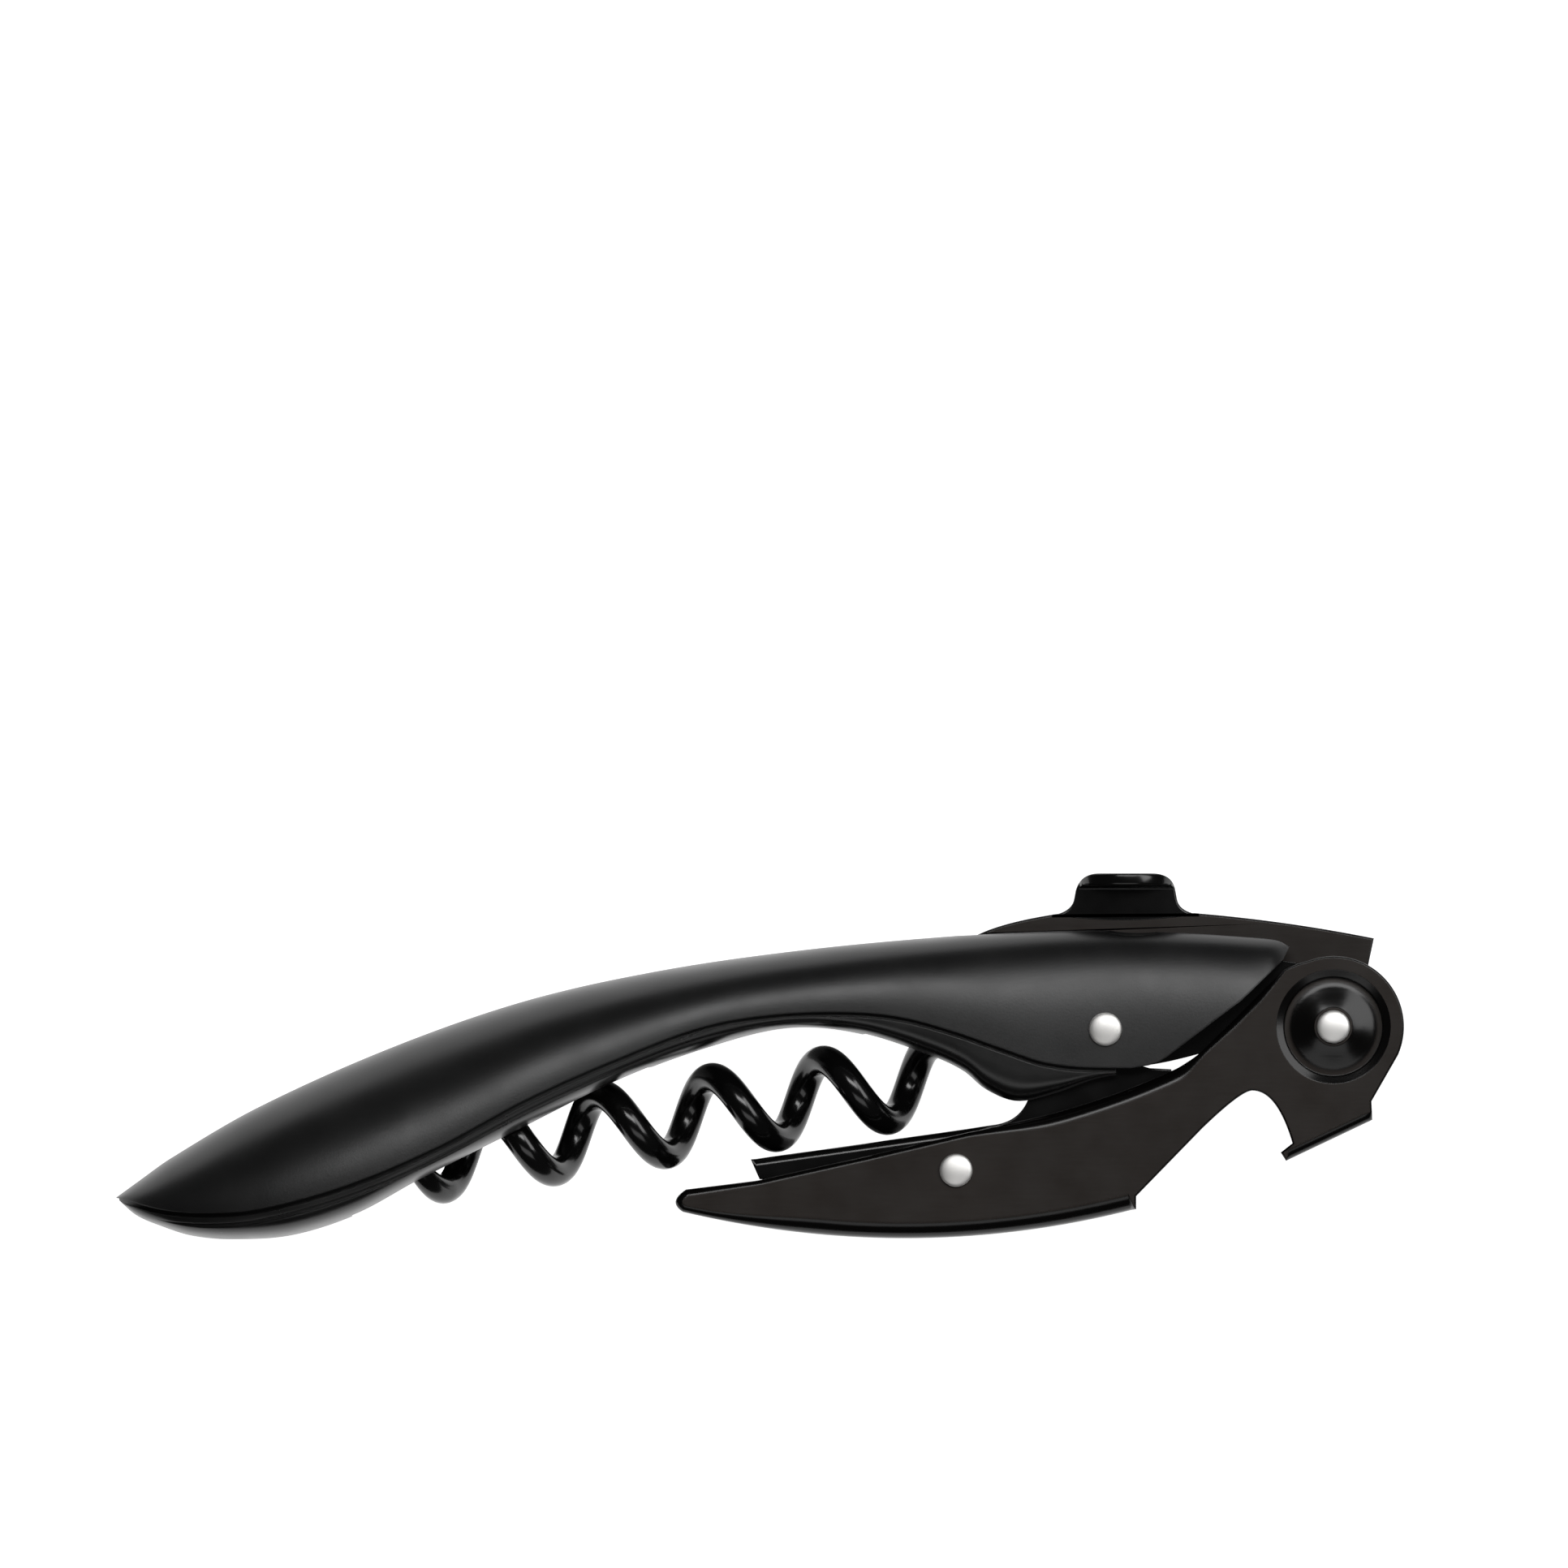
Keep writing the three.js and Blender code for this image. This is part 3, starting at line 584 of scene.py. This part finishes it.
def bead_groove():
    """The second, finer groove that leaves a bead under the crease. It runs out at both ends."""
    xs = np.linspace(-57, 8, 160)
    upper = [(x, height_on(CREASE_LINE, x) - BEAD_TO) for x in xs]
    heights = [BEAD_GROOVE * min(1, (8 - x) / 8, (x + 57) / 5) + 0.005 for x in xs]
    lower = [(x, y - height) for (x, y), height in zip(upper, heights)]
    return cut(slab(upper + lower[::-1], -FAR, FAR), plan_inside(0.4))


def grip_rim():
    """The lower moulding. Behind the groove it reaches up to the shell."""
    rim = cut(skin(), beside_crease(-CREASE_GAP, True))
    join(rim, common(cut(skin(), beside_crease(0.1, True)), plan_inside(CREASE_DEPTH)))
    cut(rim, bead_groove())
    place(hollow_handle(rim), "grip_rim", "handle", ["handle_rim"], "gloss_black_plastic")


# --- Liner --------------------------------------------------------------------------------------


def liner():
    nose_x = 18.8
    middle = nose_x + LINER_OUTER
    plan = [(FAR, -LINER_OUTER)] + arc((middle, 0), LINER_OUTER, -math.pi / 2, -3 * math.pi / 2)
    plan += [(FAR, LINER_OUTER), (FAR, LINER_INNER)]
    plan += arc((middle, 0), LINER_INNER, math.pi / 2, 3 * math.pi / 2) + [(FAR, -LINER_INNER)]
    side = line_to((24.2, 21), (nose_x, 21)) + curve((nose_x, 26.6), (34, 27.9), (46, 26.4), 30)
    side += arc(PIVOT, 5.7, math.pi / 2 + 0.2, -math.pi / 2 - 0.35, 60)
    side += curve((42, 17.6), (38, 16.4), (35.5, 16.15)) + line_to((28.5, 16.3))
    body = common(slab(plan, 0, FAR, plan=True), slab(side, -FAR, FAR))
    liner_pin = centre_of("liner_pin") - SHIFT
    cut(body, rod(PIVOT, PIN_HOLE_RADIUS), rod(WORM_PIVOT, PIN_HOLE_RADIUS), rod(liner_pin, 0.9, segments=32))
    place(body, "liner", "handle", ["liner_frame"], "gloss_black_coat")


# --- Lever --------------------------------------------------------------------------------------

FOOT_START = np.array((57.05, 11.12))
FOOT_END = np.array((49.0, 7.3))
FOOT_ALONG = (FOOT_END - FOOT_START) / np.linalg.norm(FOOT_END - FOOT_START)
FOOT_INWARD = np.array((FOOT_ALONG[1], -FOOT_ALONG[0]))
FOOT_NOTCH_DEPTH = 3.9
FOOT_NOTCH_HALF = BLADE_HALF + 0.35


def foot_point(along, inward):
    return tuple(FOOT_START + along * FOOT_ALONG + inward * FOOT_INWARD)


def with_edge(points, width):
    return [(p[0], p[1], width) for p in points]


def tapered_edge(points, narrow, wide, narrow_x, wide_x):
    """Gives each point a rim that widens from one x to another."""
    return [(x, y, narrow + (wide - narrow) * smooth(x, narrow_x, wide_x)) for x, y in points]


def lever_outline():
    """The cheek's outline; each point holds the radius of the rim or bend there."""
    bend, rim, soft, tip = 1.6, 0.2, 0.5, 0.7
    side = tapered_edge(curve((34.6, 2.72), (14, -2.45), (-7.2, 2.55), 60), tip, bend, -7, 6)
    side += with_edge(curve((-7.2, 2.55), (-8.7, 3.5), (-6.9, 4.65), 12), tip)
    side += with_edge(line_to((-0.11, 5.5), (10, 7.75), (19.17, 9.91)), soft)
    side += tapered_edge(curve((19.17, 9.91), (30.5, 12.1), (38.45, 15.8), 30), soft, 1.3, 19, 28)
    side += tapered_edge(curve((38.45, 15.8), (40.05, 16.5), (41.3, 17.65), 12), 1.3, soft, 38.4, 41.3)
    side += with_edge(line_to((43.8, 20.1), (46.3, 22.6)), 0.7)
    side += with_edge(line_to((48.85, 25.15), (50, 25.65)), rim)
    side += with_edge(arc(PIVOT, BOSS_RADIUS, 1.92, -0.42, 80), rim)
    side += with_edge(line_to((56.97, 12.85), (57.02, 11.9)), rim)
    side += with_edge([foot_point(0, 0), foot_point(0.4, 0), foot_point(4.5, 0), foot_point(8.3, 0)], 0.92)
    side += with_edge([tuple(FOOT_END), (48.5, 8.09), (49.6, 8.95)], rim)
    side += with_edge(curve((49.6, 8.95), (48.15, 13.85), (45.86, 13.85), 20), rim)
    side += with_edge(curve((45.86, 13.85), (44.85, 13.85), (41.22, 10.35), 20), rim)
    return side + with_edge(line_to((35.05, 4.01), (35.05, 2.8)), rim)


def lever_channel():
    points = [(-12, 4.6), (-6.4, 3.9)] + curve((-4.5, 3.3), (14.5, -1.1), (34, 3.6), 40)
    points += [(36.2, 3.8), (46, 6), foot_point(9.4, SHEET), foot_point(-3, SHEET)]
    points += [(70, 20), (70, 40), (-12, 40)]
    return slab(points, -LEVER_INNER, LEVER_INNER, edge=0.45, steps=4)


def foot_notch():
    corners = [(-2, -2), (FOOT_NOTCH_DEPTH, -2), (FOOT_NOTCH_DEPTH, 3), (-2, 3)]
    return slab([foot_point(*c) for c in corners], -FOOT_NOTCH_HALF, FOOT_NOTCH_HALF)


def dish_profile():
    """The pressed dish: a sloped ring, a wall and a cone, drawn as heights over the cheek."""
    ring = [(5.42, 0.02), (5.3, -0.025), (4.76, -0.19), (4.66, -0.226)]
    wall = [(4.64, -0.8), (4.58, -0.88), (4.5, -0.9)]
    cone = [(3.6, -0.66), (2.8, -0.4), (2.2, -0.2), (1.8, -0.1)]
    outside = [(1.7, 1), (5.5, 1), (5.42, 0.02)]
    return [(radius, LEVER_OUTER + height) for radius, height in ring + wall + cone + outside]


def bulge_profile():
    """The dish's other side, inside the cheek."""
    low = LEVER_INNER - 1.2
    high = LEVER_INNER + 0.2
    return [(0, high), (0, low), (5.2, low), (5.6, low + 0.15), (5.8, low + 0.5), (5.85, high), (0, high)]


def mirrored_profile(profile):
    return [(radius, -z) for radius, z in profile]


def lever():
    body = cut(slab(lever_outline(), -LEVER_OUTER, LEVER_OUTER), lever_channel())
    join(body, turned(PIVOT, bulge_profile()), turned(PIVOT, mirrored_profile(bulge_profile())))
    cut(body, turned(PIVOT, dish_profile()), turned(PIVOT, mirrored_profile(dish_profile())))
    cut(body, foot_notch(), rod(PIVOT, PIN_HOLE_RADIUS), rod(STEP_PIVOT, PIN_HOLE_RADIUS))
    place(body, "lever_sheet", "lever", ["lever"], "dark_coated_sheet")


# --- Step lever and its spring ------------------------------------------------------------------


def step_lever():
    bend, rim = 0.7, 0.14
    side = with_edge(line_to((-0.05, 5.6), (-0.87, 7.45)), rim)
    side += with_edge(line_to((-0.4, 7.5), (6, 8.4), (12, 9.25), (19.17, 10.28)), bend)
    side += with_edge(curve((21.6, 10.64), (24.1, 10.9), (24.95, 13)), rim)
    side += with_edge(curve((24.95, 13), (29.5, 15.6), (33.2, 16.1)), rim)
    side += with_edge(line_to((35.5, 16.18), (36.3, 15.95), (38.3, 15.85), (38.6, 14.4)), rim)
    side += with_edge(line_to((33, 9.2), (24, 5.2)), rim)
    side += with_edge(arc(STEP_PIVOT, 2.7, -0.5, -math.pi / 2 - 0.2) + line_to((6, 4.9)), rim)
    channel = [(-2, 3), (-0.5, 6.3), (19.2, 9.3), (21.4, 9.65), (21.4, 30), (50, 30), (50, -5), (-2, -5)]
    body = cut(slab(side, -STEP_OUTER, STEP_OUTER), slab(channel, -STEP_INNER, STEP_INNER, edge=0.3))
    cut(body, rod(STEP_PIVOT, PIN_HOLE_RADIUS))
    place(body, "step_channel", "step", ["step_lever"], "gloss_black_coat")


def step_spring():
    coil_radius, half_spread, leg = 1.9, 1.5, 7.0
    start, end = 1.82, -20.18  # the first leg leaves room for the step's web to rock down
    points = []
    for s in np.linspace(0, 1, 160):
        angle = start + (end - start) * s
        z = -half_spread + 2 * half_spread * s
        points.append((coil_radius * math.cos(angle), coil_radius * math.sin(angle), z))

    def leg_end(angle, z, reach):
        x = coil_radius * math.cos(angle) + reach * math.sin(angle)
        return (x, coil_radius * math.sin(angle) - reach * math.cos(angle), z)

    points = [leg_end(start, -half_spread, -leg)] + points + [leg_end(end, half_spread, leg)]
    points = [(x + STEP_PIVOT[0], y + STEP_PIVOT[1], z) for x, y, z in points]
    place(tube(points, [0.25] * len(points), 12), "step_coil", "lever", ["step_spring"], "spring_steel")


# --- Worm ---------------------------------------------------------------------------------------

WORM_WIRE = 1.38
WORM_COIL = 3.23
WORM_PITCH = 10.48
WORM_TILT = 0.1536
WORM_AXIS = (0.57, 12.6)
WORM_BOTTOM_X = 11.47
WORM_EASE = 3.0
WORM_TIP_X = -35.5
LAST_COIL_X = 18.0
SHANK_X = 31.0
EYE_PATH = 2.1
EYE_WIRE = 1.0


def worm_angle(x):
    """The wire's angle round the worm's axis: it comes to rest at the top of the last coil."""
    rate = 2 * math.pi / (WORM_PITCH * math.cos(WORM_TILT))
    slow_x = WORM_BOTTOM_X + math.pi / rate - WORM_EASE / 2
    past = min(max(x - slow_x, 0), WORM_EASE)
    return -math.pi / 2 - rate * (min(x, slow_x) - WORM_BOTTOM_X + past - past**2 / (2 * WORM_EASE))


def worm():
    """A right-handed helix with a ground point, a straight shank and an eye bent round its pin."""
    points, radii = [], []
    eye_start = WORM_PIVOT[0] - 0.3
    for x in np.linspace(WORM_TIP_X, eye_start, 420):
        reach = WORM_COIL * (1 - smooth(x, LAST_COIL_X, SHANK_X))
        angle = worm_angle(x)
        rise = reach * math.sin(angle)
        y = worm_axis_y(x) + rise * math.cos(WORM_TILT)
        points.append((x - rise * math.sin(WORM_TILT), y, reach * math.cos(angle)))
        point_share = min(1, 0.12 + 0.88 * ((x - WORM_TIP_X) / 5.5) ** 0.8)
        thinner = smooth(x, SHANK_X - 6, eye_start)
        radii.append(point_share * (WORM_WIRE + (EYE_WIRE - WORM_WIRE) * thinner))
    eye = arc(WORM_PIVOT, EYE_PATH, -1.5, math.pi - 0.45, 59)
    points += [(x, y, 0) for x, y in eye]
    radii += [EYE_WIRE] * len(eye)
    place(tube(points, radii, 24), "worm_wire", "worm", ["worm"], "gloss_black_coat")


# --- Blade --------------------------------------------------------------------------------------

BLADE_POINT = (20.2, 28.35)
TAB_LEFT = 29.25
TAB_RIGHT = 38.85
TAB_LOW_Z = -0.68
SHELF_REACH = 3.75
SHELF_THICKNESS = 1.15


def blade_outline():
    spine, tang, cutting = 0.22, 0.15, 0.8
    side = with_edge(curve(BLADE_POINT, (23, 29.75), (29.3, 30.55), 20), spine)
    side += with_edge(curve((40.5, 30.4), (49, 29.7), (57.2, 28.05), 24), spine)
    side += with_edge([(56.7, 25.7)] + arc(PIVOT, 3.7, 0.7, -2.6, 60), tang)
    side += with_edge(curve((47.9, 20), (46.6, 22.9), (44, 23.2), 10), tang)
    side += with_edge(line_to((42, 23.25), (36, 23.35)), cutting)
    return side + with_edge(curve((30, 23.4), (23.5, 24.4), BLADE_POINT, 24), cutting)


def tab_side():
    foot = curve((TAB_RIGHT + 2.2, 30.2), (34, 29.1), (TAB_LEFT - 2.2, 30.1), 16)
    left = curve((TAB_LEFT - 2.2, 30.15), (TAB_LEFT - 0.2, 30.5), (TAB_LEFT, 31.7), 10)
    left += curve((TAB_LEFT + 0.15, 32.5), (TAB_LEFT + 0.6, TOP_Y), (TAB_LEFT + 2.4, TOP_Y), 14)
    right = curve((TAB_RIGHT - 2.4, TOP_Y), (TAB_RIGHT - 0.4, TOP_Y), (TAB_RIGHT - 0.15, 32.5), 14)
    right += curve((TAB_RIGHT, 31.7), (TAB_RIGHT + 0.2, 30.5), (TAB_RIGHT + 2.2, 30.25), 10)
    return left + right + foot


def shelf_plan():
    left, right = TAB_LEFT + 0.5, TAB_RIGHT - 0.3
    full = (4 * SHELF_REACH - 1) / 3  # height of the two handles of a curve that peaks at the reach
    front = curve_of_four((right, 1), (right - 1.2, full), (left + 1.2, full), (left, 1))
    return [(left, 0), (right, 0)] + front


def tab_bend():
    """The bend between the tab's face and the underside of its shelf, drawn in (y, z) and run along x."""
    high_y, radius = TOP_Y - SHELF_THICKNESS, 0.55
    section = [(high_y - radius, 0.5), (high_y + 0.3, 0.5), (high_y + 0.3, BLADE_HALF + radius)]
    section += curve((high_y, BLADE_HALF + radius), (high_y, BLADE_HALF), (high_y - radius, BLADE_HALF), 12)
    bend = slab(section, TAB_LEFT - 0.1, TAB_RIGHT + 0.1)
    mesh = bend.data
    co = np.empty(len(mesh.vertices) * 3)
    mesh.vertices.foreach_get("co", co)
    mesh.vertices.foreach_set("co", co.reshape(-1, 3)[:, [2, 0, 1]].ravel())
    return common(common(bend, slab(shelf_plan(), 0, FAR, plan=True)), slab(tab_side(), -FAR, FAR))


def blade():
    body = cut(slab(blade_outline(), -BLADE_HALF, BLADE_HALF), rod(PIVOT, PIN_HOLE_RADIUS))
    place(body, "foil_blade", "blade", ["blade"], "dark_coated_sheet")


def nail_tab():
    """The tab and its shelf in near-black gloss instead of the blade's brown coat: painted shade for the
    shelf's shadow on the tab. The tab's face stands just proud of the blade's side.
    """
    # A near-black sheet 0.03 mm proud of the blade's side at the tab: painted shade.
    tab = slab(tab_side(), TAB_LOW_Z, BLADE_HALF + 0.03, edge=0.2)
    shelf = slab(shelf_plan(), TOP_Y - SHELF_THICKNESS, TOP_Y, edge=0.25, plan=True)
    common(shelf, slab(tab_side(), -FAR, FAR))
    # gloss_black_coat here paints the tab's shade black.
    place(join(tab, shelf, tab_bend()), "nail_tab", "blade", [], "gloss_black_coat")


# --- Pins and spacers ---------------------------------------------------------------------------


def rivet(node, centre, body, half):
    """A rivet with a low dome at each end, and a thin straight edge under the dome."""
    head_height = 0.6
    edge = head_height * 0.42
    head = [(PIN_RADIUS, half), (HEAD_RADIUS, half), (HEAD_RADIUS, half + edge)]
    dome = head_height - edge
    for a in np.linspace(0.12, math.pi / 2, 12)[:-1]:
        head.append((HEAD_RADIUS * math.cos(a), half + edge + dome * math.sin(a)))
    head.append((0, half + head_height))
    profile = [(r, -z) for r, z in reversed(head)] + head
    place(turned(centre, profile, 72), node + "_fine", body, [node], "bright_steel", 50)


def carried_over_nodes():
    """The small rings keep their CAD shape and get their finish here."""
    for name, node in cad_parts.items():
        if "_spacer_" in name or name == "liner_pin":
            slot = "spring_steel" if name == "liner_pin" else "bright_steel"
            node.data.materials.clear()
            node.data.materials.append(MATERIALS[slot])


# --- Studio -------------------------------------------------------------------------------------


def floor():
    material = bpy.data.materials.new("pale_floor")
    material.use_nodes = True
    tree = material.node_tree
    shader = tree.nodes["Principled BSDF"]
    shader.inputs["Base Color"].default_value = (0.5, 0.5, 0.5, 1)
    shader.inputs["Roughness"].default_value = 0.9
    shader.inputs["Specular IOR Level"].default_value = 0.1
    shader.inputs["Emission Color"].default_value = (1, 1, 1, 1)
    shader.inputs["Emission Strength"].default_value = 1.0
    size, depth = 3.0, 2.0  # a deep block, so that low views see nothing but floor under its top
    corners = [(-size, -size), (size, -size), (size, size), (-size, size)]
    points = [(x, y, 0) for x, y in corners] + [(x, y, -depth) for x, y in corners]
    sides = [[i, i + 4, (i + 1) % 4 + 4, (i + 1) % 4] for i in range(4)]
    obj = make_object("floor", points, [[0, 1, 2, 3], [7, 6, 5, 4]] + sides)
    obj.location.z = -0.0002
    obj.data.materials.append(material)


def soft_light(name, where, aim, size, power):
    data = bpy.data.lights.new(name, "AREA")
    data.shape = "RECTANGLE"
    data.size, data.size_y = size
    data.energy = power
    obj = bpy.data.objects.new(name, data)
    bpy.context.scene.collection.objects.link(obj)
    obj.location = where
    obj.rotation_euler = (Vector(aim) - Vector(where)).to_track_quat("-Z", "Y").to_euler()
    return obj


def studio():
    world = bpy.data.worlds.new("studio")
    bpy.context.scene.world = world
    world.use_nodes = True
    world.node_tree.nodes["Background"].inputs["Color"].default_value = (1, 1, 1, 1)
    world.node_tree.nodes["Background"].inputs["Strength"].default_value = 0.03
    soft_light("spine_side", (0.03, 0.27, 0.73), (0, 0, 0.01), (0.45, 0.18), 1.8)
    soft_light("lower_side", (0.0, -0.36, 0.70), (0, 0, 0.01), (0.6, 0.25), 0.6)
    soft_light("corner", (0.48, 0.26, 0.70), (0.05, 0, 0.01), (0.6, 0.3), 2.3)


def camera():
    """Looks straight down on the tool as it lies, with its spine up in the picture."""
    picture_width = 0.146086
    data = bpy.data.cameras.new("main")
    data.type = "ORTHO"
    data.ortho_scale = picture_width
    data.clip_end = 5
    obj = bpy.data.objects.new("main", data)
    bpy.context.scene.collection.objects.link(obj)
    obj.location = (0.00223, 0.02537, 1.0)
    bpy.context.scene.camera = obj


def build():
    camera()
    floor()
    studio()
    grip_shell()
    grip_rim()
    liner()
    lever()
    step_lever()
    step_spring()
    worm()
    blade()
    nail_tab()
    rivet("pivot_pin", PIVOT, "handle", LEVER_OUTER + 0.05)
    rivet("worm_pin", WORM_PIVOT, "handle", 6.55)
    rivet("step_pin", STEP_PIVOT, "lever", LEVER_OUTER + 0.05)
    carried_over_nodes()


build()
bpy.context.scene.view_settings.view_transform = "Standard"
